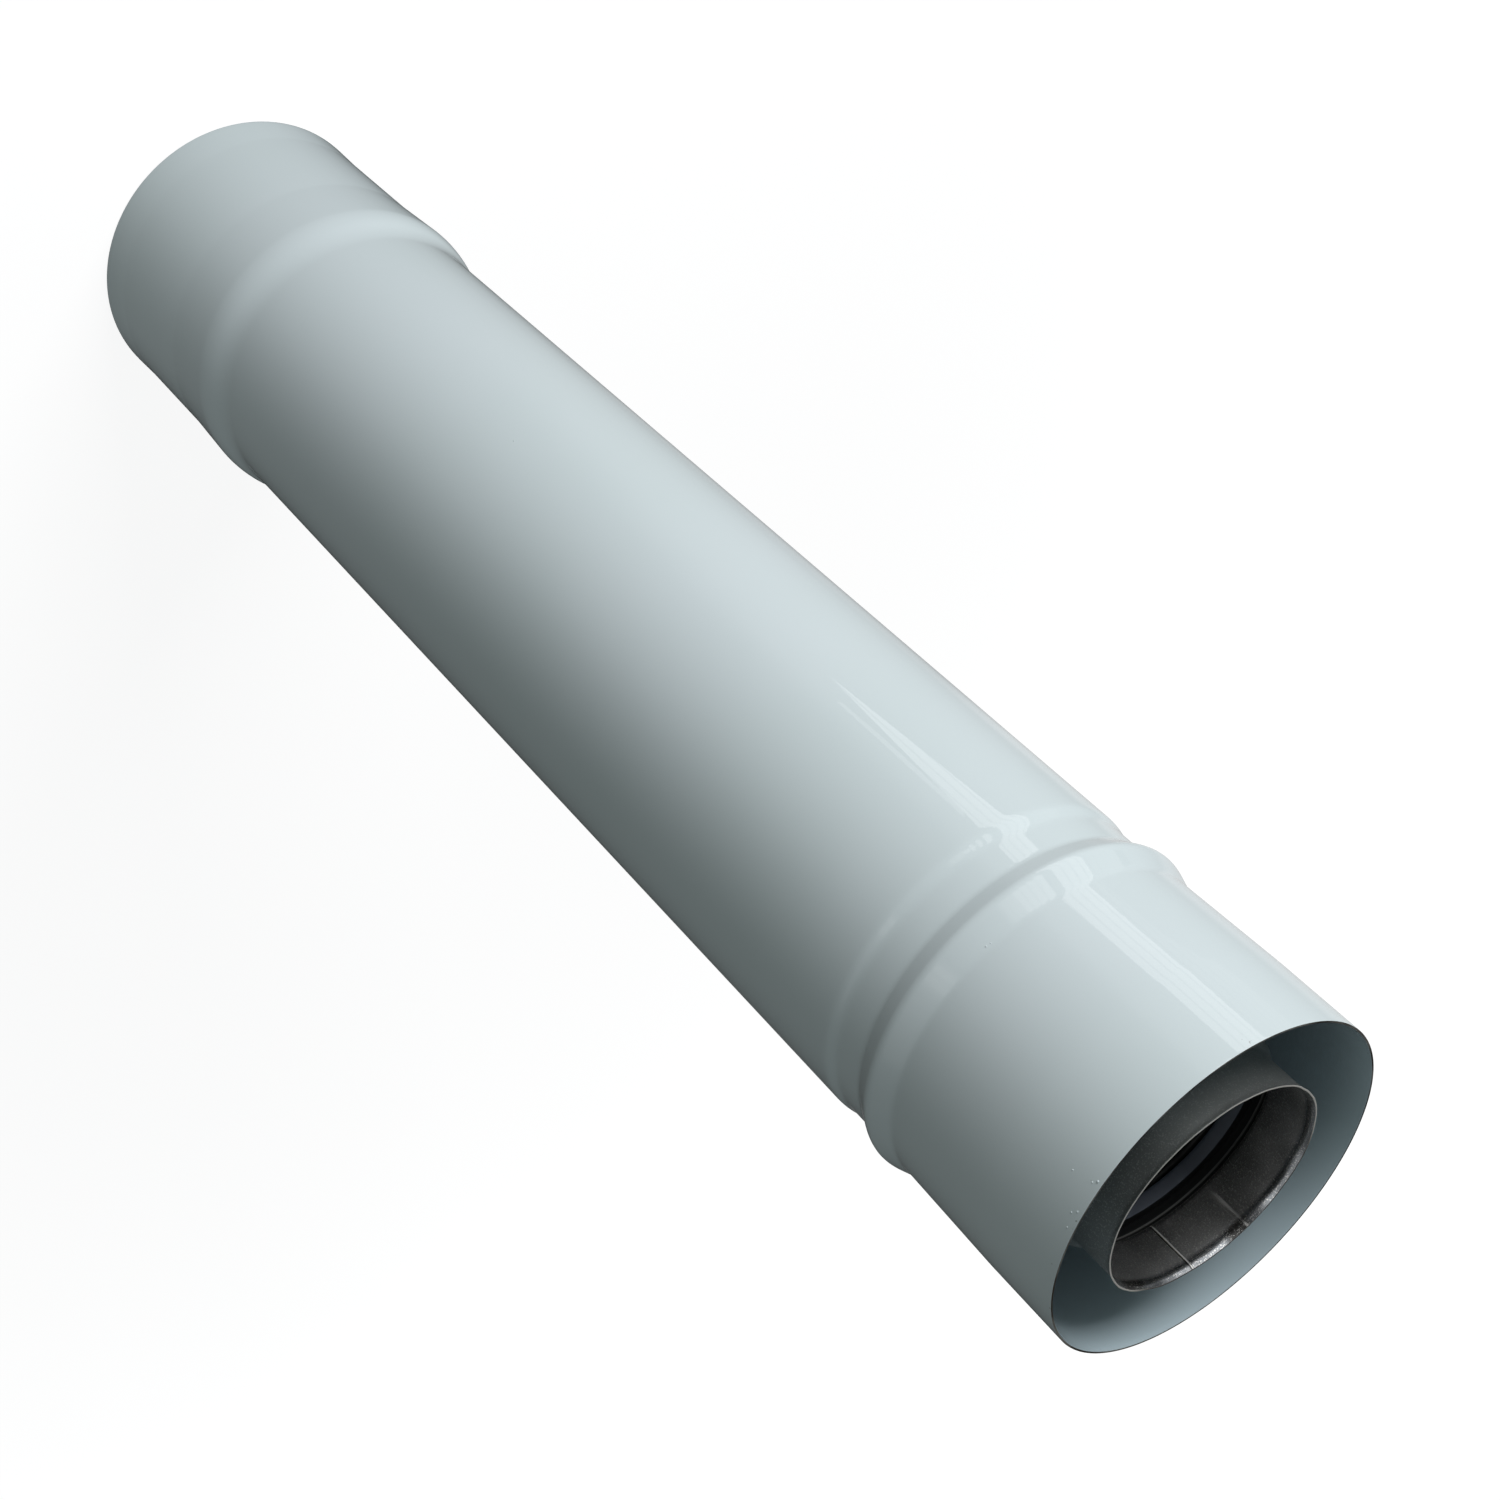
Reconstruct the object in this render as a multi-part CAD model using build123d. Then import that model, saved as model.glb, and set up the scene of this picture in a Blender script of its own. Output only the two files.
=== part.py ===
from build123d import *
import os

# A straight length of 60/100 balanced flue pipe: a painted steel air pipe with a plain flue pipe
# held inside it by spring clips. It stands on its socket end at Z = 0, with its spigot end up.
# Sizes are in millimetres. Stations are measured along the pipe from the rim of the spigot.

# Air pipe, the painted outer one; its radii are those of the outside
overall_length = 514.0
air_radius = 50.0
air_wall = 0.6
spigot_radius = 50.35
spigot_land = 26.0
spigot_length = 60.6
neck_radius = 49.6
bead_radius = 51.9
bead_rise = 6.6
bead_crest = 1.2
bead_fall = 6.1
groove_radius = 49.05
groove_land = 8.2
groove_run = 5.5
socket_depth = 76.5
shoulder_radius = 53.05
shoulder_run = 17.0
socket_radius = 52.05
socket_taper = 22.5
socket_land = 40.0
socket_rim_radius = 52.45
socket_rim_land = 2.0

# Flue pipe, the bare inner one; its radii are those of the outside unless they say otherwise
flue_radius = 30.2
flue_wall = 0.5
flue_recess = 12.0
flue_spigot_radius = 29.95
flue_spigot_length = 45.0
flue_spigot_run = 4.0
flue_socket_play = 0.3
flue_socket_depth = 45.0
flue_socket_run = 4.0
mouth_flare = 0.35
mouth_land = 0.5
mouth_flare_length = 3.0
seal_seat_start = 15.6
seal_seat_floor = 5.8
seal_seat_depth = 2.2
seal_seat_run = 2.2

# Lip seal in the mouth of the flue pipe
seal_play = 0.2
seal_length = 3.2
seal_front_reach = 0.75
seal_lip_reach = 1.85
seal_lip_overhang = 0.5
seal_lip_tip = 0.7
seal_root_depth = 0.1

# Spring clips that centre the flue pipe in the air pipe
clip_count = 3
clip_width = 12.0
clip_thickness = 0.6
clip_play = 0.2
clip_leg_half_angle = 13.0
clip_crown_half_angle = 8.0
clip_foot_angle = 11.0
clip_bend = 2.0
clip_near_station = 106.0
clip_far_setback = 22.0

# A step in a pipe's wall is rolled with round bends if its slope lies between these two. A gentler
# one is a straight taper, and a steeper one is a straight flank.
gentlest_rolled_slope = 0.15
steepest_rolled_slope = 0.3

shoulder_station = overall_length - socket_depth
flue_socket_radius = flue_spigot_radius + flue_socket_play + flue_wall
flue_end_station = overall_length - flue_recess


def rolled_line(levels):
    """A line through (station, radius) levels. A rolled step is two arcs, level at both its ends."""
    edges = []
    for (start, first), (end, last) in zip(levels, levels[1:]):
        slope = abs(last - first) / (end - start)
        if gentlest_rolled_slope < slope < steepest_rolled_slope:
            middle = ((start + end) / 2, (first + last) / 2)
            lower = TangentArc((start, first), middle, tangent=(1, 0))
            edges += [lower, TangentArc(middle, (end, last), tangent=lower % 1)]
        else:
            edges.append(Line((start, first), (end, last)))
    return Wire([line.edge() for line in edges])


def spun_sheet(levels, wall):
    """Sheet of one thickness turned about the pipe's axis, with its outside through the levels."""
    outside = rolled_line(levels)
    section = offset(outside, amount=wall, kind=Kind.INTERSECTION, side=Side.RIGHT, closed=True)
    return revolve(make_face(section), Axis.X)


def stand_up(shape):
    """Turn a shape from stations along +X to its place on the floor, with the spigot end up."""
    return Pos(0, 0, overall_length) * Rot(0, 90, 0) * shape


def air_pipe():
    """Spigot, stop bead, groove, body, shoulder and socket, rolled from one painted tube."""
    crest = spigot_length + bead_rise
    crest_end = crest + bead_crest
    groove = crest_end + bead_fall
    body = groove + groove_land + groove_run
    socket = shoulder_station + socket_taper
    levels = [
        (0, spigot_radius),
        (spigot_land, spigot_radius),
        (spigot_length, neck_radius),
        (crest, bead_radius),
        (crest_end, bead_radius),
        (groove, groove_radius),
        (groove + groove_land, groove_radius),
        (body, air_radius),
        (shoulder_station - shoulder_run, air_radius),
        (shoulder_station, shoulder_radius),
        (socket, socket_radius),
        (socket + socket_land, socket_radius),
        (overall_length - socket_rim_land, socket_rim_radius),
        (overall_length, socket_rim_radius),
    ]
    return spun_sheet(levels, air_wall)


def flue_pipe():
    """Mouth, seal seat, socket, body and the drawn spigot at the far end, all from one tube."""
    seat_radius = flue_socket_radius + seal_seat_depth
    seat = seal_seat_start + seal_seat_run
    seat_end = seat + seal_seat_floor
    flue_spigot = flue_end_station - flue_spigot_length
    levels = [
        (0, flue_socket_radius + mouth_flare),
        (mouth_land, flue_socket_radius + mouth_flare),
        (mouth_flare_length, flue_socket_radius),
        (seal_seat_start, flue_socket_radius),
        (seat, seat_radius),
        (seat_end, seat_radius),
        (seat_end + seal_seat_run, flue_socket_radius),
        (flue_socket_depth, flue_socket_radius),
        (flue_socket_depth + flue_socket_run, flue_radius),
        (flue_spigot - flue_spigot_run, flue_radius),
        (flue_spigot, flue_spigot_radius),
        (flue_end_station, flue_spigot_radius),
    ]
    return spun_sheet(levels, flue_wall)


def seal_ring():
    """Rubber ring at the back of the seal seat, with a lip that leans inwards, away from the mouth."""
    bore_radius = flue_socket_radius - flue_wall
    ring_radius = bore_radius + seal_seat_depth - seal_play
    lip_radius = bore_radius - seal_lip_reach
    back = seal_seat_start + seal_seat_run + seal_seat_floor - seal_play
    front = back - seal_length
    lip_end = back + seal_lip_overhang
    section = Polyline(
        (front, ring_radius),
        (back, ring_radius),
        (back, bore_radius - seal_root_depth),
        (lip_end, lip_radius),
        (lip_end - seal_lip_tip, lip_radius),
        (front, bore_radius - seal_front_reach),
        close=True,
    )
    return revolve(make_face(section), Axis.X)


def centring_clip():
    """Hat-shaped strip with its crown up: two feet on the flue pipe, two legs and a crown."""
    foot_radius = flue_radius + clip_play
    crown_radius = air_radius - air_wall - clip_play - clip_thickness
    right_toe = -clip_leg_half_angle - clip_foot_angle
    right_foot = CenterArc((0, 0), foot_radius, right_toe, clip_foot_angle)
    crown = CenterArc((0, 0), crown_radius, -clip_crown_half_angle, 2 * clip_crown_half_angle)
    left_foot = CenterArc((0, 0), foot_radius, clip_leg_half_angle, clip_foot_angle)
    right_leg = Line(right_foot @ 1, crown @ 0)
    left_leg = Line(crown @ 1, left_foot @ 0)
    path = Wire([line.edge() for line in (right_foot, right_leg, crown, left_leg, left_foot)])
    toes = (right_foot @ 0, left_foot @ 1)
    bends = [v for v in path.vertices() if all((Vector(*v) - toe).length > clip_thickness for toe in toes)]
    section = offset(path.fillet_2d(clip_bend, bends), amount=clip_thickness, side=Side.RIGHT, closed=True)
    strip = extrude(make_face(section), clip_width / 2, both=True)
    return Rot(0, -90, 0) * strip


def centring_clips():
    """The clips of both stations, evenly spaced round the flue pipe."""
    stations = {
        "near": clip_near_station,
        "far": shoulder_station - shoulder_run - clip_far_setback,
    }
    clips = {}
    for end, station in stations.items():
        for number in range(clip_count):
            angle = number * 360 / clip_count
            clips[f"centring_clip_{end}_{number + 1}"] = Pos(station, 0, 0) * Rot(angle, 0, 0) * centring_clip()
    return clips


def main():
    os.makedirs("parts", exist_ok=True)
    pieces = {"air_pipe": air_pipe(), "flue_pipe": flue_pipe(), "seal_ring": seal_ring()}
    pieces.update(centring_clips())
    for name, shape in pieces.items():
        export_step(stand_up(shape), f"parts/{name}.step")


main()
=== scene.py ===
import math

import bpy
from mathutils import Matrix, Vector


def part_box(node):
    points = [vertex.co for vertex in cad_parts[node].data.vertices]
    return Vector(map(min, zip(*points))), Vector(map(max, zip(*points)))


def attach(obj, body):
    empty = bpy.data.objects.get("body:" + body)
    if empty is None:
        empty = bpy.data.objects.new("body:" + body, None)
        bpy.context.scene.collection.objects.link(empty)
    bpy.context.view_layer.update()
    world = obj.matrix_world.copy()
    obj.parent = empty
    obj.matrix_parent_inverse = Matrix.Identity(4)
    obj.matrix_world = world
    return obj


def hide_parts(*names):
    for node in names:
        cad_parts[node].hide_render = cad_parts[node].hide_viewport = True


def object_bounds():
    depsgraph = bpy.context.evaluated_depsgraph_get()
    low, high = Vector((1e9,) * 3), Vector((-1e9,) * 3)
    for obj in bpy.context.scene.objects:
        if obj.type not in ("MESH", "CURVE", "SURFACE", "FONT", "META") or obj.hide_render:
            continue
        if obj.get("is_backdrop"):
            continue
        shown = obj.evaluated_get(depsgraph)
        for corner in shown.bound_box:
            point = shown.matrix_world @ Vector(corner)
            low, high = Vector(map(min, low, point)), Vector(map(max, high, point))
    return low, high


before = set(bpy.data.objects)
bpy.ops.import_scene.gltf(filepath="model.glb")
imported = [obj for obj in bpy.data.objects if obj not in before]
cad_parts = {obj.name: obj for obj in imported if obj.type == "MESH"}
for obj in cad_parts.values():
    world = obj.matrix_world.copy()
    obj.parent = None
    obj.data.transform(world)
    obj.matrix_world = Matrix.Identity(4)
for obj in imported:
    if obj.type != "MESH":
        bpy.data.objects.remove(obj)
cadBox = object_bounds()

# A flue pipe that stands on its socket end. Sizes in the dictionaries are millimetres and degrees.
# A station is measured down the pipe from its top rim, and an angle goes round it from +X to +Y.
mm = 0.001
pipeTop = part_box("air_pipe")[1].z


# Node trees

def pick(sockets, key):
    if isinstance(key, int):
        return sockets[key]
    named = [socket for socket in sockets if socket.name == key]
    return next((socket for socket in named if socket.enabled), named[0])


class Flow:
    # The value of one socket. A sum or product of it, written in Python, adds its Math nodes.
    def __init__(self, bench, socket):
        self.bench = bench
        self.socket = socket

    def out(self, key):
        return Flow(self.bench, pick(self.socket.node.outputs, key))

    def math(self, operation, *values):
        return self.bench.add("ShaderNodeMath", {"operation": operation}, dict(enumerate(values)))

    def __add__(self, other):
        return self.math("ADD", self, other)

    def __sub__(self, other):
        return self.math("SUBTRACT", self, other)

    def __rsub__(self, other):
        return self.math("SUBTRACT", other, self)

    def __mul__(self, other):
        return self.math("MULTIPLY", self, other)

    def __truediv__(self, other):
        return self.math("DIVIDE", self, other)

    def __pow__(self, other):
        return self.math("POWER", self, other)

    __radd__ = __add__
    __rmul__ = __mul__

    def absolute(self):
        return self.math("ABSOLUTE", self)

    def sine(self):
        return self.math("SINE", self)

    def cosine(self):
        return self.math("COSINE", self)

    def clamp(self):
        return self.bench.add("ShaderNodeClamp", {}, {"Value": self})

    def split(self):
        return self.bench.add("ShaderNodeSeparateXYZ", {}, {"Vector": self})

    def angle(self):
        # The angle about Z of a vector that has been split
        return self.math("ARCTAN2", self.out("Y"), self.out("X"))

    def rise(self, low, high):
        # 0 below low and 1 above high, with a soft step between; low above high turns it round
        if low > high:
            return 1 - self.rise(high, low)
        values = {"Value": self, "From Min": low, "From Max": high}
        return self.bench.add("ShaderNodeMapRange", {"interpolation_type": "SMOOTHSTEP"}, values)


class Bench:
    # A node tree that is being built. add() makes any node, whatever its type.
    def __init__(self, tree):
        self.tree = tree

    def add(self, kind, settings={}, values={}):
        node = self.tree.nodes.new(kind)
        for name, value in settings.items():
            setattr(node, name, value)
        for key, value in values.items():
            socket = pick(node.inputs, key)
            if isinstance(value, Flow):
                self.tree.links.new(value.socket, socket)
            elif socket.type == "RGBA":
                socket.default_value = (*value[:3], 1.0)
            else:
                socket.default_value = value
        shown = [socket for socket in node.outputs if socket.enabled]
        return Flow(self, shown[0]) if shown else None

    def mix(self, share, first, second):
        values = {"Factor": share, "A": first, "B": second}
        return self.add("ShaderNodeMix", {"data_type": "RGBA"}, values)

    def join(self, x, y, z):
        return self.add("ShaderNodeCombineXYZ", {}, {"X": x, "Y": y, "Z": z})

    def objectPlace(self, scale=(1, 1, 1)):
        place = self.add("ShaderNodeTexCoord").out("Object")
        return self.add("ShaderNodeMapping", {}, {"Vector": place, "Scale": scale})

    def facing(self):
        # The surface's normal, split
        return self.add("ShaderNodeNewGeometry").out("Normal").split()

    def inside(self, facing, parts):
        # 1 where the surface of a tube faces its axis, and 0 on the outside
        outwards = facing.out("X") * parts.out("X") + facing.out("Y") * parts.out("Y")
        return outwards.rise(0.01, -0.01)

    def noise(self, place, scale, detail=2.0, roughness=0.5):
        values = {"Vector": place, "Scale": scale, "Detail": detail, "Roughness": roughness}
        return self.add("ShaderNodeTexNoise", {}, values)

    def bump(self, height, strength, distance):
        values = {"Height": height, "Strength": strength, "Distance": distance * mm}
        return self.add("ShaderNodeBump", {}, values)


def newMaterial(name, build):
    material = bpy.data.materials.new(name)
    material.use_nodes = True
    material.node_tree.nodes.clear()
    bench = Bench(material.node_tree)
    bench.add("ShaderNodeOutputMaterial", {}, {"Surface": build(bench)})
    return material


def principled(bench, values):
    return bench.add("ShaderNodeBsdfPrincipled", {}, values)


# Shapes that are turned about the pipe's axis. A step whose slope lies between these two is rolled
# with round bends, a gentler one is a taper and a steeper one is a straight flank.
gentlestRolled = 0.15
steepestRolled = 0.3
straightStep = 15.0  # between the rings of a straight stretch


def stepRadius(first, last, share, length):
    # Radius a share of the way down a rolled step of two tangent arcs that is level at both its ends
    rise = abs(last - first)
    bend = (length ** 2 + rise ** 2) / (4 * rise)
    along = min(share, 1 - share) * length
    climb = bend - math.sqrt(bend ** 2 - along ** 2)
    climb = climb if share < 0.5 else rise - climb
    return first + math.copysign(climb, last - first)


def wallRadius(levels, station):
    if station <= levels[0][0]:
        return levels[0][1]
    for (start, first), (end, last) in zip(levels, levels[1:]):
        if station <= end:
            share = (station - start) / (end - start)
            rolled = gentlestRolled < abs(last - first) / (end - start) < steepestRolled
            return stepRadius(first, last, share, end - start) if rolled else first + share * (last - first)
    return levels[-1][1]


def softRadius(levels, station, soft):
    # The wall's corners are rounded off by averaging over a short stretch of it
    reach = [-1, -0.5, 0, 0.5, 1]
    return sum(wallRadius(levels, station + soft * part) for part in reach) / len(reach)


def wallStations(levels, soft):
    # Close together on the steps and beside the corners, and far apart on straight stretches
    stations = {levels[0][0], levels[-1][0]}
    beside = [soft * part for part in (-1.5, -0.75, 0, 0.75, 1.5)]
    for (start, first), (end, last) in zip(levels, levels[1:]):
        length = end - start
        slope = abs(last - first) / length
        step = soft * 0.75 if slope > gentlestRolled else straightStep
        count = max(1, round(length / step))
        stations.update(start + length * part / count for part in range(1, count))
        stations.update(corner + gap for corner in (start, end) for gap in beside)
    return sorted(round(s, 3) for s in stations if levels[0][0] <= s <= levels[-1][0])


def wallSection(levels, wall, soft, cut):
    # Closed section of a tube's wall as (radius, station), with its two cut edges rounded a little
    outside = [(softRadius(levels, s, soft), s) for s in wallStations(levels, soft)]
    inside = [(radius - wall, s) for radius, s in outside]
    corner = [(1 - math.cos(math.radians(a)), 1 - math.sin(math.radians(a))) for a in (0, 30, 60, 90)]
    (topRadius, top), (lowRadius, low) = outside[0], outside[-1]
    section = [(topRadius - cut * x, top + cut * y) for x, y in corner]
    section += [(topRadius - wall + cut * x, top + cut * y) for x, y in reversed(corner)]
    section += [point for point in inside if top + 2 * cut < point[1] < low - 2 * cut]
    section += [(lowRadius - wall + cut * x, low - cut * y) for x, y in corner]
    section += [(lowRadius - cut * x, low - cut * y) for x, y in reversed(corner)]
    section += [point for point in reversed(outside) if top + 2 * cut < point[1] < low - 2 * cut]
    return section


def newTree(name, inputs):
    tree = bpy.data.node_groups.new(name, "GeometryNodeTree")
    tree.interface.new_socket("Geometry", in_out="INPUT", socket_type="NodeSocketGeometry")
    for label, kind in inputs.items():
        tree.interface.new_socket(label, in_out="INPUT", socket_type="NodeSocket" + kind)
    tree.interface.new_socket("Geometry", in_out="OUTPUT", socket_type="NodeSocketGeometry")
    bench = Bench(tree)
    return tree, bench, bench.add("NodeGroupInput")


def finishTree(bench, geometry, material):
    geometry = bench.add("GeometryNodeRealizeInstances", {}, {"Geometry": geometry})
    geometry = bench.add("GeometryNodeSetMaterial", {}, {"Geometry": geometry, "Material": material})
    bench.add("NodeGroupOutput", {}, {"Geometry": geometry})


def wholeMaths(bench, operation, first, second):
    return bench.add("FunctionNodeIntegerMath", {"operation": operation}, {0: first, 1: second})


def smooth(bench, geometry):
    return bench.add("GeometryNodeSetShadeSmooth", {}, {"Geometry": geometry, "Shade Smooth": True})


def turnedTree():
    # Turns a closed section, given as points in order, about Z. Its top can be pressed out of round and
    # dented, and both fade out on the way down.
    inputs = {
        "Segments": "Int",
        "Out of Round": "Float",
        "Long Side": "Float",
        "Round Below": "Float",
        "Round Fade": "Float",
        "Dents": "Float",
        "Dents Below": "Float",
        "Material": "Material",
    }
    tree, bench, given = newTree("turned_section", inputs)
    section = given.out("Geometry")
    segments = given.out("Segments")
    points = bench.add("GeometryNodeAttributeDomainSize", {"component": "MESH"}, {"Geometry": section})
    columnSize = wholeMaths(bench, "ADD", points, 1)
    sizes = {"Vertices X": wholeMaths(bench, "ADD", segments, 1), "Vertices Y": columnSize}
    grid = bench.add("GeometryNodeMeshGrid", {}, sizes)
    index = bench.add("GeometryNodeInputIndex")
    column = wholeMaths(bench, "DIVIDE_FLOOR", index, columnSize)
    row = wholeMaths(bench, "MODULO", wholeMaths(bench, "MODULO", index, columnSize), points)
    place = bench.add("GeometryNodeInputPosition")
    sample = {"Geometry": section, "Value": place, "Index": row}
    point = bench.add("GeometryNodeSampleIndex", {"data_type": "FLOAT_VECTOR", "domain": "POINT"}, sample)
    point = point.split()
    height = point.out("Z")
    turn = column * 2 * math.pi / segments
    fade = ((height - given.out("Round Below")) / given.out("Round Fade")).clamp()
    oval = (2 * (turn - given.out("Long Side"))).cosine()
    lip = ((height - given.out("Dents Below")) / (pipeTop - given.out("Dents Below"))).clamp()
    ring = bench.join(turn.cosine(), turn.sine(), height * 40)
    dents = (bench.noise(ring, 3.2) - 0.5) * lip * given.out("Dents")
    radius = point.out("X") + fade * given.out("Out of Round") * oval + dents
    turned = bench.join(radius * turn.cosine(), radius * turn.sine(), height)
    skin = bench.add("GeometryNodeSetPosition", {}, {"Geometry": grid.out("Mesh"), "Position": turned})
    skin = bench.add("GeometryNodeMergeByDistance", {}, {"Geometry": skin, "Distance": 0.005 * mm})
    finishTree(bench, smooth(bench, skin), given.out("Material"))
    return tree


def runTree(name, mesh, tree, values):
    # Evaluates a node tree on a mesh and keeps the result as a plain mesh piece
    piece = bpy.data.objects.new(name, mesh)
    bpy.context.scene.collection.objects.link(piece)
    modifier = piece.modifiers.new(tree.name, "NODES")
    modifier.node_group = tree
    for item in tree.interface.items_tree:
        if item.in_out == "INPUT" and item.name in values:
            modifier[item.identifier] = values[item.name]
    shown = piece.evaluated_get(bpy.context.evaluated_depsgraph_get())
    made = bpy.data.meshes.new_from_object(shown)
    piece.modifiers.clear()
    piece.data = made
    return piece


def turnedPiece(name, section, tree, values):
    mesh = bpy.data.meshes.new(name + "_section")
    mesh.from_pydata([(radius * mm, 0, pipeTop - station * mm) for radius, station in section], [], [])
    return runTree(name, mesh, tree, values)


# Materials

enamel = {
    "paint": (0.655, 0.742, 0.768),
    "shadePaint": (0.635, 0.730, 0.748),  # in large soft patches
    "patchScale": 9.0,
    "inside": (0.715, 0.785, 0.82),  # how much of the paint's colour the inside of the pipe has: a painted shade, darker and bluer inside the tube
    "gloss": 0.012,
    "smudge": 0.012,
    "smudgeScale": 38.0,
    "peelScale": 210.0,
    "peelDepth": 0.0012,
    "bareEdge": (0.60, 0.60, 0.56),
    "edgeHeight": 0.16,
    "rust": (0.10, 0.085, 0.07),
    "rustScale": 60.0,
    "chipScale": 900.0,
    "chipsTo": 4.0,  # chips in the paint beside the rim, down to this station
}


def enamelShader(bench):
    # Glossy stove enamel with a faint orange peel, and the bare cut edge of the sheet at both rims
    place = bench.objectPlace()
    parts = place.split()
    facing = bench.facing()
    height = parts.out("Z")
    patches = bench.noise(place, enamel["patchScale"], 3.0).rise(0.3, 0.7)
    # Painted shade: the inside of the pipe gets a darker, bluer paint colour
    shadedInsidePaint = tuple(part * share for part, share in zip(enamel["paint"], enamel["inside"]))
    paint = bench.mix(patches, enamel["paint"], enamel["shadePaint"])
    paint = bench.mix(bench.inside(facing, parts), paint, shadedInsidePaint)
    chips = bench.noise(place, enamel["chipScale"], 1.0).rise(0.70, 0.74)
    chips = chips * bench.noise(place, 40.0).rise(0.52, 0.60)
    chips = chips * height.rise(pipeTop - enamel["chipsTo"] * mm, pipeTop)
    paint = bench.mix(chips, paint, enamel["rust"])
    edge = enamel["edgeHeight"] * mm
    rims = height.rise(pipeTop - edge, pipeTop - edge / 2) + height.rise(edge, edge / 2)
    cut = rims * facing.out("Z").absolute().rise(0.5, 0.8)
    rusty = bench.noise(place, enamel["rustScale"], 3.0).rise(0.42, 0.62)
    metal = bench.mix(rusty, enamel["bareEdge"], enamel["rust"])
    smudges = bench.noise(bench.objectPlace((1, 1, 0.4)), enamel["smudgeScale"], 4.0, 0.6).rise(0.45, 0.75)
    peel = bench.noise(place, enamel["peelScale"])
    return principled(bench, {
        "Base Color": bench.mix(cut, paint, metal),
        "Metallic": cut * 0.9,
        "Roughness": enamel["gloss"] + smudges * enamel["smudge"] + cut * 0.3,
        "Normal": bench.bump(peel, 0.5, enamel["peelDepth"]),
        "IOR": 1.5,
    })


steel = {
    "bright": (0.74, 0.745, 0.74),
    "dull": (0.50, 0.505, 0.50),
    "cloudScale": 42.0,
    "grainScale": 3000.0,
    "film": 0.012,  # how much of the inside looks matt instead of metallic
    "roughness": 0.36,
    "outside": (0.47, 0.475, 0.46),
    "outsideShade": (0.29, 0.29, 0.28),  # painted shade: darkens the outside about this angle
    "outsideShadeAngle": -48.0,
    "outerRoughness": 0.42,
    "polish": (0.38, 0.40, 0.42),  # of the lip, down to this station
    "lipTo": 2.6,
    "lipRoughness": 0.26,
    "lipGapShade": (0.17, 0.17, 0.165),  # painted shade: the lip dark where its reflection falls away
    "lipShadeGaps": [(84.0, 4.2), (14.0, 6.0)],  # angle and half width of those places
    "speck": (0.95, 0.95, 0.92),
    "speckScale": 2600.0,
    # the cut edge is pale partly as a painted highlight, and is painted darker in shade about one angle
    "cutEdge": (0.92, 0.90, 0.84),
    "edgeShade": (0.20, 0.19, 0.18),
    "edgeShadeAngle": 80.0,
    "paintedShade": (0.012, 0.013, 0.014),  # painted shade in the bore, from the seal seat down, until it fades out; also the painted shadow beside the weld
    "seatFrom": 16.0,
    "seatTo": 60.0,
    "seatFade": 25.0,
    # painted highlight: a thin bright ring where the bore meets the seal seat
    "cornerGlintFrom": 17.3,
    "cornerGlintTo": 18.3,
    "seamAngle": 53.8,  # the lengthwise weld, a bright line beside a dark one: a painted highlight beside a painted shadow
    "seamWidth": 0.28,
    "scratchAngle": 88.0,
    "scratchTo": 14.0,
    "drawnScale": 900.0,  # lengthwise marks of drawing
    "radius": 30.0,  # turns an angle into millimetres round the pipe
}


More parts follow.
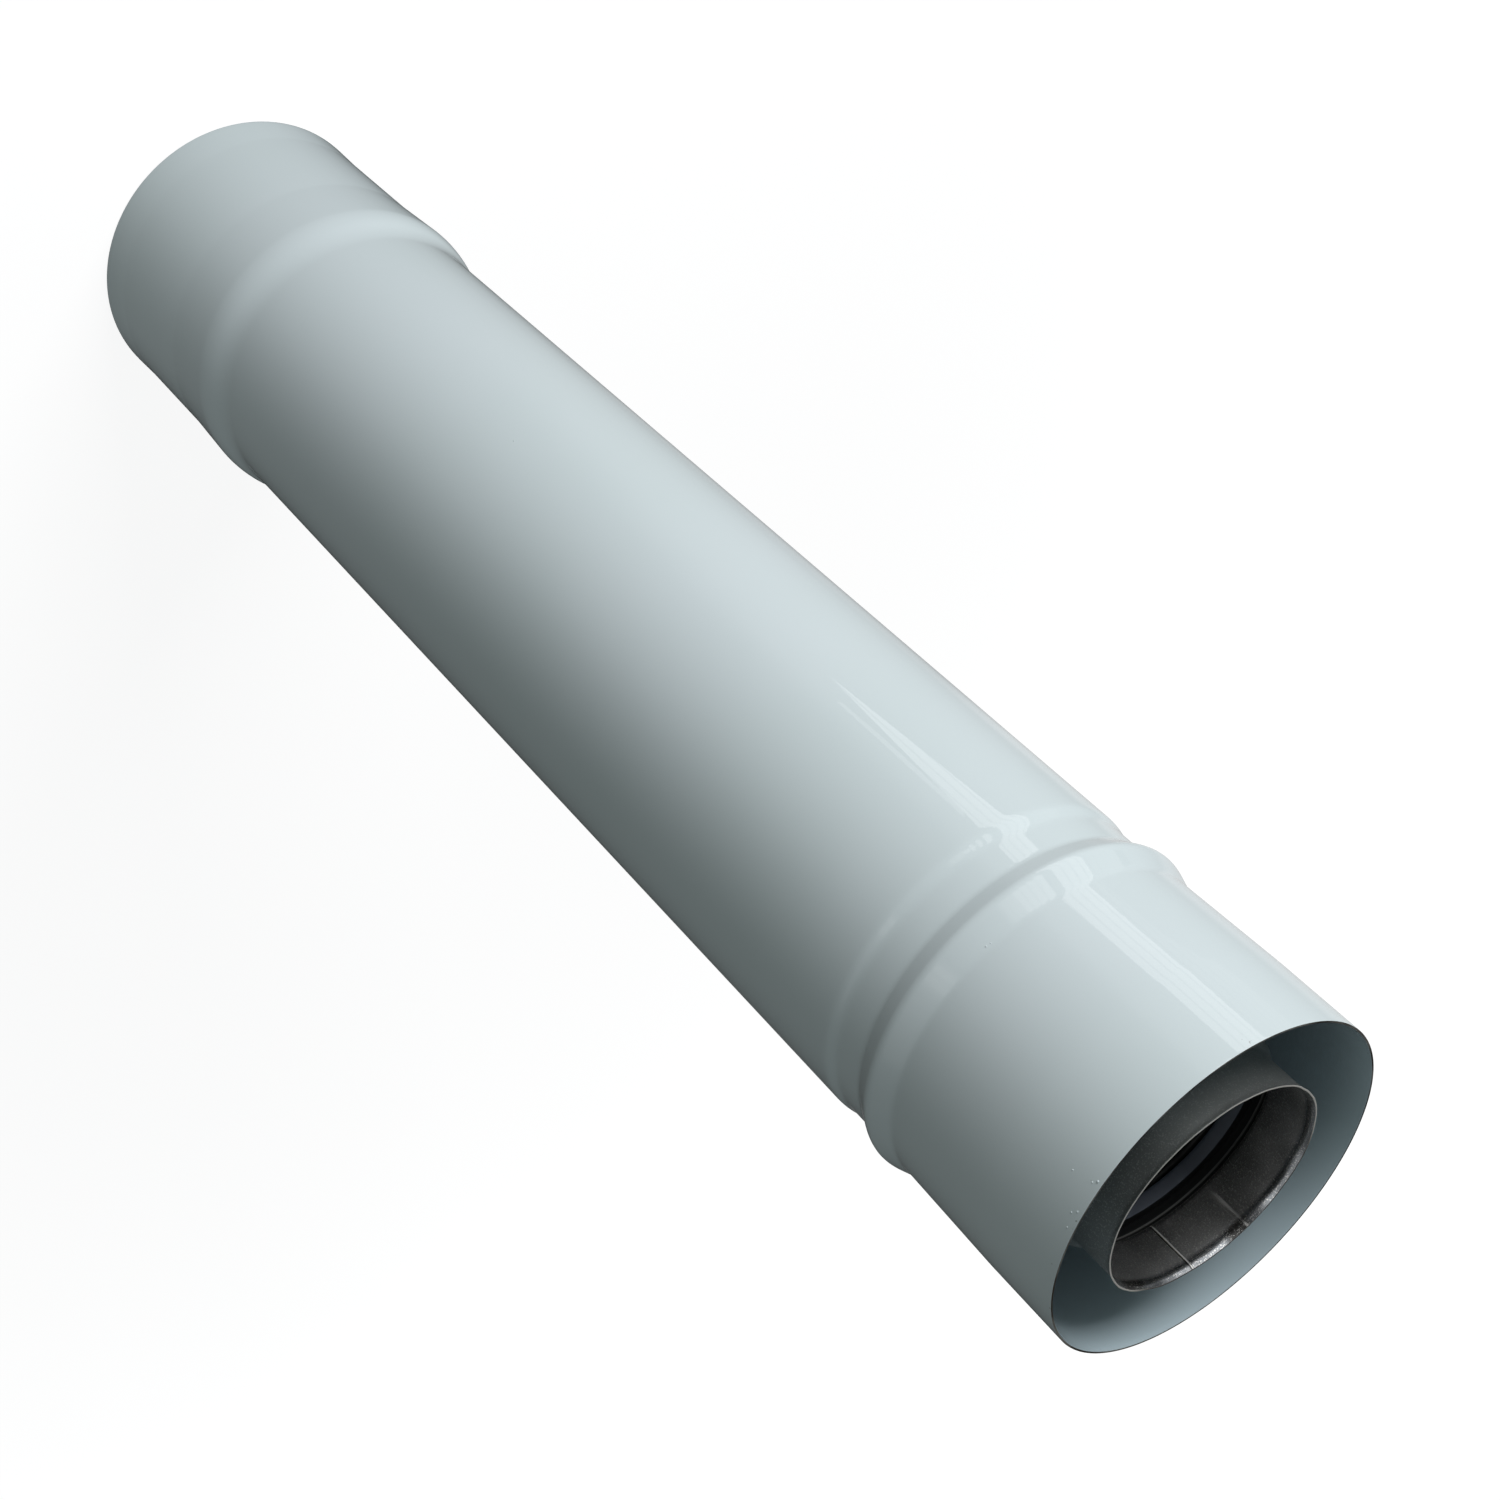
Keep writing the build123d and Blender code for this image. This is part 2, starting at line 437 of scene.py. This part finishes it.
def steelShader(bench):
    # Dull sheet steel with soft clouds, fine bright specks, drawing marks, a lengthwise weld and scratches
    place = bench.objectPlace()
    parts = place.split()
    facing = bench.facing()
    station = (pipeTop - parts.out("Z")) / mm
    turn = parts.angle()
    inside = bench.inside(facing, parts)

    def stripe(angle, width, aside=0.0, wander=0.0):
        # 1 on a lengthwise line at this angle, with its half width and its offset in millimetres
        off = (turn - math.radians(angle)) * steel["radius"] - aside
        if wander:
            off = off + (bench.noise(place, 60.0) - 0.5) * wander
        return off.absolute().rise(width, width * 0.4)

    def towards(angle):
        return (turn - math.radians(steel[angle])).cosine()

    width = steel["seamWidth"]
    # Painted highlight and painted shadow: a bright line on the weld and a dark line beside it
    seam = stripe(steel["seamAngle"], width)
    seamShadow = stripe(steel["seamAngle"], width, width * -1.6)
    heat = stripe(steel["seamAngle"], width * 10) * 0.3
    marks = bench.noise(bench.objectPlace((1, 1, 0.05)), 700.0).rise(0.50, 0.62)
    scratches = stripe(steel["scratchAngle"], 1.5, 0, 2.0) * marks * inside
    scratches = scratches * station.rise(steel["scratchTo"], steel["scratchTo"] - 2)
    lip = station.rise(steel["lipTo"] + 1.5, steel["lipTo"]) * inside
    # Painted shade: the lip is dark where its reflection falls away, at the given angles
    lipShadeGapMask = sum(stripe(angle, half, 0, 4.0) for angle, half in steel["lipShadeGaps"])
    # Painted shade: the bore is dark from the seal seat down, fading out deeper
    seatShade = station.rise(steel["seatFrom"], steel["seatFrom"] + 0.5) * inside
    seatShade = seatShade * station.rise(steel["seatTo"], steel["seatTo"] - steel["seatFade"])
    # Painted highlight: a thin bright ring at the corner of the seal seat
    cornerGlint = station.rise(steel["cornerGlintFrom"], steel["cornerGlintFrom"] + 0.3) * inside
    cornerGlint = cornerGlint * station.rise(steel["cornerGlintTo"], steel["cornerGlintTo"] - 0.3)

    clouds = bench.noise(place, steel["cloudScale"], 3.0, 0.55)
    grain = bench.noise(place, steel["grainScale"], 2.0, 0.7).rise(0.38, 0.62)
    specks = bench.noise(place, steel["speckScale"], 1.0).rise(0.57, 0.66)
    lines = bench.noise(bench.objectPlace((1, 1, 0.02)), steel["drawnScale"], 3.0, 0.6)
    # Painted shade: the outside of the flue is darker towards one side
    outside = bench.mix(towards("outsideShadeAngle").rise(0.55, 0.95), steel["outside"], steel["outsideShade"])
    colour = bench.mix(clouds.rise(0.35, 0.7) * 0.5 + grain * 0.5, steel["dull"], steel["bright"])
    layers = [
        (1 - inside, outside),
        (lip, bench.mix(lipShadeGapMask, steel["polish"], steel["lipGapShade"])),
        (heat, steel["dull"]),
        (specks * 0.9 * (0.3 + inside * 0.7), steel["speck"]),
        (seamShadow * 0.7, steel["paintedShade"]),
        (scratches + seam, steel["speck"]),
        (seatShade, steel["paintedShade"]),
        (cornerGlint * 0.2, steel["speck"]),
    ]
    for share, layer in layers:
        colour = bench.mix(share, colour, layer)
    # The cut edge: pale partly as a painted highlight, and painted darker in shade about one angle
    cut = facing.out("Z").rise(0.55, 0.85) * station.rise(1.4, 1.0)
    edge = bench.mix(towards("edgeShadeAngle").rise(0.35, 0.6), steel["cutEdge"], steel["edgeShade"])
    matt = steel["film"] + scratches * 0.15 + seam * 0.35
    rough = steel["roughness"] + (1 - inside) * (steel["outerRoughness"] - steel["roughness"])
    rough = rough - lip * (steel["roughness"] - steel["lipRoughness"])
    wear = clouds.rise(0.3, 0.75) * 0.1 + lines.rise(0.5, 0.8) * 0.08
    return principled(bench, {
        "Base Color": bench.mix(cut, colour, edge),
        "Metallic": (1 - seatShade - (1 - inside) * 0.15 - (1 - seatShade) * inside * matt) * (1 - cut * 0.6),
        "Roughness": rough + wear * (1 - lip) + cut * 0.2,
        "Normal": bench.bump(lines * 0.06 + seam, 0.8, 0.1),
    })


rubber = {
    "colour": (0.085, 0.10, 0.128),
    "bloom": (0.15, 0.168, 0.20),
    "bloomScale": 70.0,
    "shade": (0.006, 0.007, 0.008),
    "roughness": 0.42,
    "ringScale": 2500.0,
}


def rubberShader(bench):
    # Blue-grey silicone with a light bloom and fine moulding lines round it. Its front, facing up the pipe,
    # is painted near-black as shade.
    # Painted shade: the seal's front face, facing up the pipe, is near-black
    front = bench.facing().out("Z").rise(0.75, 0.95)
    bloom = bench.noise(bench.objectPlace(), rubber["bloomScale"], 4.0, 0.6)
    rings = bench.noise(bench.objectPlace((0.02, 0.02, 1)), rubber["ringScale"])
    colour = bench.mix(bloom.rise(0.4, 0.75), rubber["colour"], rubber["bloom"])
    return principled(bench, {
        "Base Color": bench.mix(front, colour, rubber["shade"]),
        "Roughness": rubber["roughness"] + bloom * 0.15,
        "Normal": bench.bump(rings, 0.2, 0.01),
    })


spring = {
    "colour": (0.56, 0.55, 0.53),
    "heat": (0.42, 0.36, 0.28),
    "heatScale": 90.0,
    "grainScale": 700.0,
    "roughness": 0.26,
}


def springShader(bench):
    # Bright strip steel, rolled along its length, with a little straw colour where it was bent
    grain = bench.noise(bench.objectPlace((1, 1, 0.05)), spring["grainScale"], 3.0)
    tint = bench.noise(bench.objectPlace(), spring["heatScale"], 3.0).rise(0.5, 0.8)
    return principled(bench, {
        "Base Color": bench.mix(tint * 0.5, spring["colour"], spring["heat"]),
        "Metallic": 1.0,
        "Roughness": spring["roughness"] + grain.rise(0.4, 0.8) * 0.16,
        "Normal": bench.bump(grain, 0.2, 0.006),
    })


paintedSteel = newMaterial("stove_enamel", enamelShader)
dullSteel = newMaterial("dull_sheet_steel", steelShader)
sealRubber = newMaterial("seal_rubber", rubberShader)
springSteel = newMaterial("spring_steel", springShader)
print("materials ready")


# The painted air pipe

airPipe = {
    "wall": 0.6,
    "segments": 288,
    "soft": 0.8,
    "cut": 0.12,
    "levels": [
        (0, 50.35),  # spigot
        (26, 50.35),
        (60.6, 49.6),
        (67.2, 51.9),  # stop bead
        (68.4, 51.9),
        (74.5, 49.05),  # groove
        (82.7, 49.05),
        (88.2, 50),  # body
        (420.5, 50),
        (437.5, 53.0),  # shoulder
        (460, 52.05),  # socket
        (500, 52.05),
        (512, 52.45),
        (514, 52.45),
    ],
}


def buildAirPipe(tree):
    section = wallSection(airPipe["levels"], airPipe["wall"], airPipe["soft"], airPipe["cut"])
    values = {"Segments": airPipe["segments"], "Material": paintedSteel}
    piece = turnedPiece("painted_air_pipe", section, tree, values)
    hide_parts("air_pipe")
    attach(piece, "root")
    return piece


# The bare flue pipe

fluePipe = {
    "wall": 0.5,
    "segments": 256,
    "soft": 0.5,
    "cut": 0.1,
    "outOfRound": 1.3,  # at the mouth, with its long side at this angle
    "longSide": -24.6,
    "roundFrom": 103.0,  # station, and how long the change from round is
    "roundFade": 51.4,
    "dents": 0.9,
    "dentsTo": 5.0,
    "levels": [
        (0.6, 31.30),  # mouth
        (1.1, 31.03),
        (1.7, 30.84),
        (2.6, 30.75),
        (4.5, 30.69),
        (15.6, 30.75),
        (17.8, 32.95),  # seal seat
        (23.6, 32.95),
        (25.8, 30.75),
        (45, 30.75),
        (49, 30.2),  # body
        (453, 30.2),
        (457, 29.95),  # drawn spigot
        (502, 29.95),
    ],
}


def pressed():
    # The flue and the seal in it are out of round together
    return {
        "Out of Round": fluePipe["outOfRound"] * mm,
        "Long Side": math.radians(fluePipe["longSide"]),
        "Round Below": pipeTop - fluePipe["roundFrom"] * mm,
        "Round Fade": fluePipe["roundFade"] * mm,
    }


def buildFluePipe(tree):
    section = wallSection(fluePipe["levels"], fluePipe["wall"], fluePipe["soft"], fluePipe["cut"])
    values = {
        "Segments": fluePipe["segments"],
        "Dents": fluePipe["dents"] * mm,
        "Dents Below": pipeTop - fluePipe["dentsTo"] * mm,
        "Material": dullSteel,
        **pressed(),
    }
    piece = turnedPiece("bare_flue_pipe", section, tree, values)
    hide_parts("flue_pipe")
    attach(piece, "root")
    return piece


# The lip seal

seal = {
    "segments": 192,
    "front": 20.2,
    "back": 23.3,
    "ringRadius": 32.25,
    "frontRadius": 29.5,
    "rootRadius": 30.15,
    "lipTip": 23.8,
    "lipRadius": 28.5,
    "lipThickness": 0.7,
    "rounding": 0.25,
}


def roundedLoop(corners, radius, steps=4):
    # A closed loop with each corner cut by a short quadratic curve
    loop = []
    for before, corner, after in zip(corners[-1:] + corners[:-1], corners, corners[1:] + corners[:1]):
        corner, before, after = Vector(corner), Vector(before), Vector(after)
        reach = min(radius, (before - corner).length / 2.5, (after - corner).length / 2.5)
        start = corner + (before - corner).normalized() * reach
        end = corner + (after - corner).normalized() * reach
        for part in range(steps + 1):
            share = part / steps
            loop.append(start * (1 - share) ** 2 + corner * 2 * share * (1 - share) + end * share ** 2)
    return loop


def buildSeal(tree):
    corners = [
        (seal["ringRadius"], seal["front"]),
        (seal["frontRadius"], seal["front"]),
        (seal["lipRadius"], seal["lipTip"] - seal["lipThickness"]),
        (seal["lipRadius"], seal["lipTip"]),
        (seal["rootRadius"], seal["back"]),
        (seal["ringRadius"], seal["back"]),
    ]
    section = [tuple(point) for point in roundedLoop(corners, seal["rounding"])]
    values = {"Segments": seal["segments"], "Material": sealRubber, **pressed()}
    piece = turnedPiece("lip_seal", section, tree, values)
    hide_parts("seal_ring")
    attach(piece, "root")
    return piece


# Specks of dust under the paint

nibs = {
    "places": [  # angle and station
        (-68.2, 8.0), (-70.8, 1.4), (-69.6, 2.4), (-60.8, 1.6), (-59.4, 2.8),
        (-55.2, 2.0), (-94.5, 61.5), (-96.0, 61.3), (-109.0, 296.0),
    ],
    "size": (0.16, 0.34),  # radius of the smallest and the largest
    "sunk": 0.6,  # how far each centre is under the paint, as a share of the smallest radius
    "seed": 5,
}


def nibTree():
    # A ball of its own size on each point
    inputs = {"Smallest": "Float", "Largest": "Float", "Seed": "Int", "Material": "Material"}
    tree, bench, given = newTree("paint_nibs", inputs)
    ball = smooth(bench, bench.add("GeometryNodeMeshIcoSphere", {}, {"Radius": 1.0, "Subdivisions": 3}))
    sizes = {"Min": given.out("Smallest"), "Max": given.out("Largest"), "Seed": given.out("Seed")}
    size = bench.add("FunctionNodeRandomValue", {"data_type": "FLOAT"}, sizes)
    spots = {"Points": given.out("Geometry"), "Instance": ball, "Scale": size}
    finishTree(bench, bench.add("GeometryNodeInstanceOnPoints", {}, spots), given.out("Material"))
    return tree


def buildNibs():
    smallest, largest = nibs["size"]
    centres = []
    for angle, station in nibs["places"]:
        radius = (wallRadius(airPipe["levels"], station) - smallest * nibs["sunk"]) * mm
        turn = math.radians(angle)
        centres.append((radius * math.cos(turn), radius * math.sin(turn), pipeTop - station * mm))
    mesh = bpy.data.meshes.new("nib_places")
    mesh.from_pydata(centres, [], [])
    values = {"Smallest": smallest * mm, "Largest": largest * mm, "Seed": nibs["seed"]}
    piece = runTree("paint_nibs", mesh, nibTree(), {**values, "Material": paintedSteel})
    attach(piece, "root")
    return piece


def dressClips():
    for name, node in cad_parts.items():
        if name.startswith("centring_clip"):
            node.data.materials.clear()
            node.data.materials.append(springSteel)


# Build

turned = turnedTree()
buildAirPipe(turned)
buildFluePipe(turned)
buildSeal(turned)
buildNibs()
dressClips()
print("pipe, flue, seal and clips ready")


# Floor, light and camera. Places and sizes are metres from here on, and a pair is where a soft step
# starts and ends.

floor = {
    "size": 6.0,
    "grey": 0.25,  # to the camera
    "bounce": 0.05,  # how pale it is to other rays
    "glow": 0.88,  # near the pipe; it grows to 1 with the distance
    "glowReach": (0.3, 1.1),
    "darkGloss": 0.02,  # how bright the floor looks in the paint, on its dark side and its pale side
    "paleGloss": 0.30,
    "paleFade": (0.35, -0.36),  # and gets brighter between these along X
    "paleFrom": (0.10, 0.40),  # the pale side starts this far along Y, and further back as X grows
    "paleSlant": 1.6,
    "paleWobble": 0.15,
    "behindGloss": (0.12, 0.20),  # what the floor behind the pipe has more, and its far part more still
    "behindFrom": (0.68, 0.82),  # sine of the direction
    "behindFar": (0.5, 0.62),
    "footGlow": 0.27,  # on the pipe's lower end, from the +X side
    "footReach": (0.42, 0.18),
    "footSide": (-0.05, 0.1),
}


def floorShader(bench):
    # White to the camera, keeping the pipe's soft shadow. In the paint it is a dark table by a pale floor.
    place = bench.objectPlace()
    parts = place.split()
    x, y = parts.out("X"), parts.out("Y")
    away = (x * x + y * y) ** 0.5
    rays = bench.add("ShaderNodeLightPath")
    seen = rays.out("Is Camera Ray")
    mirrored = rays.out("Is Glossy Ray") + rays.out("Is Transmission Ray")
    glow = floor["glow"] + away.rise(*floor["glowReach"]) * (1 - floor["glow"])
    edge = y - x * floor["paleSlant"] + (bench.noise(place, 9.0, 3.0) - 0.5) * floor["paleWobble"]
    near, far = floor["behindGloss"]
    behind = (y / away).rise(*floor["behindFrom"]) * (near + away.rise(*floor["behindFar"]) * far)
    pale = edge.rise(*floor["paleFrom"]) * x.rise(*floor["paleFade"])
    gloss = floor["darkGloss"] + pale * (floor["paleGloss"] + behind)
    foot = away.rise(*floor["footReach"]) * x.rise(*floor["footSide"]) * floor["footGlow"]
    strength = seen * glow + mirrored * gloss + rays.out("Is Diffuse Ray") * foot
    light = bench.add("ShaderNodeEmission", {}, {"Strength": strength})
    tone = bench.mix(seen, [floor["bounce"]] * 3, [floor["grey"]] * 3)
    matt = bench.add("ShaderNodeBsdfDiffuse", {}, {"Color": tone})
    return bench.add("ShaderNodeAddShader", {}, {0: light, 1: matt})


def glowing(name, build):
    # Rays that are mirrored or scattered find this light by themselves, so it isn't sampled as a lamp
    material = newMaterial(name, build)
    material.cycles.emission_sampling = "NONE"
    return material


def stageMesh(name, corners, material):
    mesh = bpy.data.meshes.new(name)
    mesh.from_pydata(corners, [], [tuple(range(len(corners)))])
    mesh.materials.append(material)
    item = bpy.data.objects.new(name, mesh)
    bpy.context.scene.collection.objects.link(item)
    item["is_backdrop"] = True
    return item


def buildFloor():
    half = floor["size"] / 2
    corners = [(-half, -half, 0), (half, -half, 0), (half, half, 0), (-half, half, 0)]
    stageMesh("pale_floor", corners, glowing("pale_floor", floorShader))


# Panels that only the gloss of the paint shows. Each outline is (across, up), seen from the pipe, and
# the teeth under the block are the glints beside the bead.
panels = {
    "azimuth": -156.0,
    "distance": 0.47,
    "tall": [
        (-0.106, 0.60), (-0.100, 0.185), (-0.06, 0.145), (-0.03, 0.095),
        (0.008, 0.030), (0.046, 0.095), (0.080, 0.152), (0.052, 0.22), (0.052, 0.60),
    ],
    "side": [
        (-0.321, 0.60), (-0.321, 0.235), (-0.185, 0.215), (-0.180, 0.168), (-0.104, 0.168), (-0.108, 0.60),
    ],
    "slip": [(0.068, 0.140), (0.066, 0.075), (0.074, 0.045), (0.090, 0.042), (0.092, 0.140)],
    "block": [
        (0.10, 0.75), (0.10, 0.395), (0.112, 0.335), (0.136, 0.33), (0.140, 0.395),
        (0.158, 0.395), (0.162, 0.35), (0.180, 0.345), (0.184, 0.395),
        (0.202, 0.395), (0.206, 0.36), (0.222, 0.355), (0.226, 0.395), (0.27, 0.395), (0.27, 0.75),
    ],
    "glow": {"tall": 2.0, "side": 0.6, "slip": 1.2, "block": 1.7},
    "slatScale": 23.0,  # slats to a metre, and how much darker the thin lines between them are
    "slatLine": (0.82, 0.98),
    "slatDark": 0.5,
}


def panelShader(strength):
    # Even light with thin upright slats
    def build(bench):
        place = bench.add("ShaderNodeTexCoord").out("Object")
        turned = {"Vector": place, "Rotation": (0, 0, -math.radians(panels["azimuth"]))}
        across = bench.add("ShaderNodeMapping", {}, turned).split().out("Y")
        slats = (across * (panels["slatScale"] * 2 * math.pi)).sine()
        glow = (1 - slats.rise(*panels["slatLine"]) * panels["slatDark"]) * strength
        return bench.add("ShaderNodeEmission", {}, {"Strength": glow})
    return build


def buildPanels():
    turn = math.radians(panels["azimuth"])
    side = Vector((-math.sin(turn), math.cos(turn), 0))
    foot = Vector((math.cos(turn), math.sin(turn), 0)) * panels["distance"]
    for name, glow in panels["glow"].items():
        corners = [foot + side * across + Vector((0, 0, up)) for across, up in panels[name]]
        panel = stageMesh(name + "_panel", corners, glowing(name + "_panel", panelShader(glow)))
        panel.visible_camera = panel.visible_diffuse = panel.visible_shadow = False


key = {
    "azimuth": -146.0,
    "distance": 1.7,
    "height": 0.68,
    "target": 0.6,  # a share of the pipe's height
    "size": 1.25,
    "power": 29.3,
    "tint": (0.985, 0.965, 0.975),
}


def aimed(place, target):
    turn = (Vector(target) - Vector(place)).to_track_quat("-Z", "Y")
    return Matrix.Translation(place) @ turn.to_matrix().to_4x4()


def buildKey():
    data = bpy.data.lights.new("key", "AREA")
    data.size = key["size"]
    data.energy = key["power"]
    data.color = key["tint"]
    lamp = bpy.data.objects.new("key", data)
    bpy.context.scene.collection.objects.link(lamp)
    turn = math.radians(key["azimuth"])
    place = (key["distance"] * math.cos(turn), key["distance"] * math.sin(turn), key["height"])
    lamp.matrix_world = aimed(place, (0, 0, pipeTop * key["target"]))
    lamp.visible_glossy = False


walls = {
    "gloss": 0.6,  # how bright the walls and windows look in gloss, and what they have more high up
    "highGloss": 0.8,
    "highFrom": (0.05, 0.3),
    "windows": [  # azimuth, half width and brightness
        (-147.5, 29.0, 0.70), (-124.0, 6.0, 0.95), (-46.0, 30.0, 0.45), (-70.0, 7.0, 0.95),
    ],
    "windowEdge": 3.0,
    "plain": 0.12,  # brightness between the windows
    "barWidth": 6.5,
    "barLine": (0.7, 0.95),
    "barDark": 0.3,
    "darkFrom": (0.35, 0.75),  # sine of the height above the horizon where the ceiling starts
    "ceilingGloss": 0.1,
    "fill": 0.43,
    "fillTint": (0.95, 1.0, 0.96),
    "fillSlant": 0.18,  # how much darker it is on the +X side
    "fillSide": (0.6, 1.0),
    "overhead": 0.095,
    "overheadTint": (0.90, 1.0, 1.08),
    "overheadSlant": 0.55,  # how much brighter it is on the +X side
    "overheadSide": (-0.5, 0.6),
}


def worldShader(bench):
    # A low fill on matt surfaces, white to the camera and pale in gloss. Overhead it is nearly dark.
    parts = bench.objectPlace().split()
    x, up = parts.out("X"), parts.out("Z")
    turn = parts.angle()
    over = up.rise(*walls["darkFrom"])
    lit = walls["plain"]
    for azimuth, half, brightness in walls["windows"]:
        edges = (math.radians(half + side * walls["windowEdge"]) for side in (1, -1))
        window = (turn - math.radians(azimuth)).absolute().rise(*edges)
        lit = lit + window * (brightness - walls["plain"])
    bars = (turn * (360 / walls["barWidth"])).sine().rise(*walls["barLine"])
    gloss = (1 + up.rise(*walls["highFrom"]) * walls["highGloss"]) * (1 - over * (1 - walls["ceilingGloss"]))
    gloss = gloss * lit * (1 - bars * walls["barDark"]) * walls["gloss"]
    low = tuple(part * walls["fill"] for part in walls["fillTint"])
    low = bench.mix(x.rise(*walls["fillSide"]) * walls["fillSlant"], low, (0, 0, 0))
    overhead = (1 + x.rise(*walls["overheadSide"]) * walls["overheadSlant"]) * walls["overhead"]
    high = bench.join(*(overhead * part for part in walls["overheadTint"]))
    rays = bench.add("ShaderNodeLightPath")
    mirrored = rays.out("Is Glossy Ray") + rays.out("Is Transmission Ray")
    colour = bench.mix(mirrored, bench.mix(over, low, high), bench.join(gloss, gloss, gloss))
    colour = bench.mix(rays.out("Is Camera Ray"), colour, (1, 1, 1))
    return bench.add("ShaderNodeBackground", {}, {"Color": colour})


def buildWorld():
    world = bpy.data.worlds.new("studio")
    world.use_nodes = True
    world.node_tree.nodes.clear()
    bench = Bench(world.node_tree)
    bench.add("ShaderNodeOutputWorld", {}, {"Surface": worldShader(bench)})
    bpy.context.scene.world = world


camera = {
    "place": (0.00116, -0.53982, 0.73926),
    "pitch": 37.565,  # down from level, looking along +Y
    "roll": 133.848,
    "lens": 57.89,  # millimetres, as is the sensor
    "sensor": 36.0,
}


def buildCamera():
    data = bpy.data.cameras.new("view")
    data.lens = camera["lens"]
    data.sensor_width = camera["sensor"]
    data.clip_start = 0.01
    view = bpy.data.objects.new("view", data)
    bpy.context.scene.collection.objects.link(view)
    tilt = Matrix.Rotation(math.radians(90 - camera["pitch"]), 4, "X")
    roll = Matrix.Rotation(math.radians(camera["roll"]), 4, "Z")
    view.matrix_world = Matrix.Translation(camera["place"]) @ tilt @ roll
    bpy.context.scene.camera = view


buildFloor()
buildPanels()
buildKey()
buildWorld()
buildCamera()
bpy.context.scene.view_settings.view_transform = "Standard"
print("floor, light and camera ready")

[[list(corner) for corner in box] for box in (cadBox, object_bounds())]
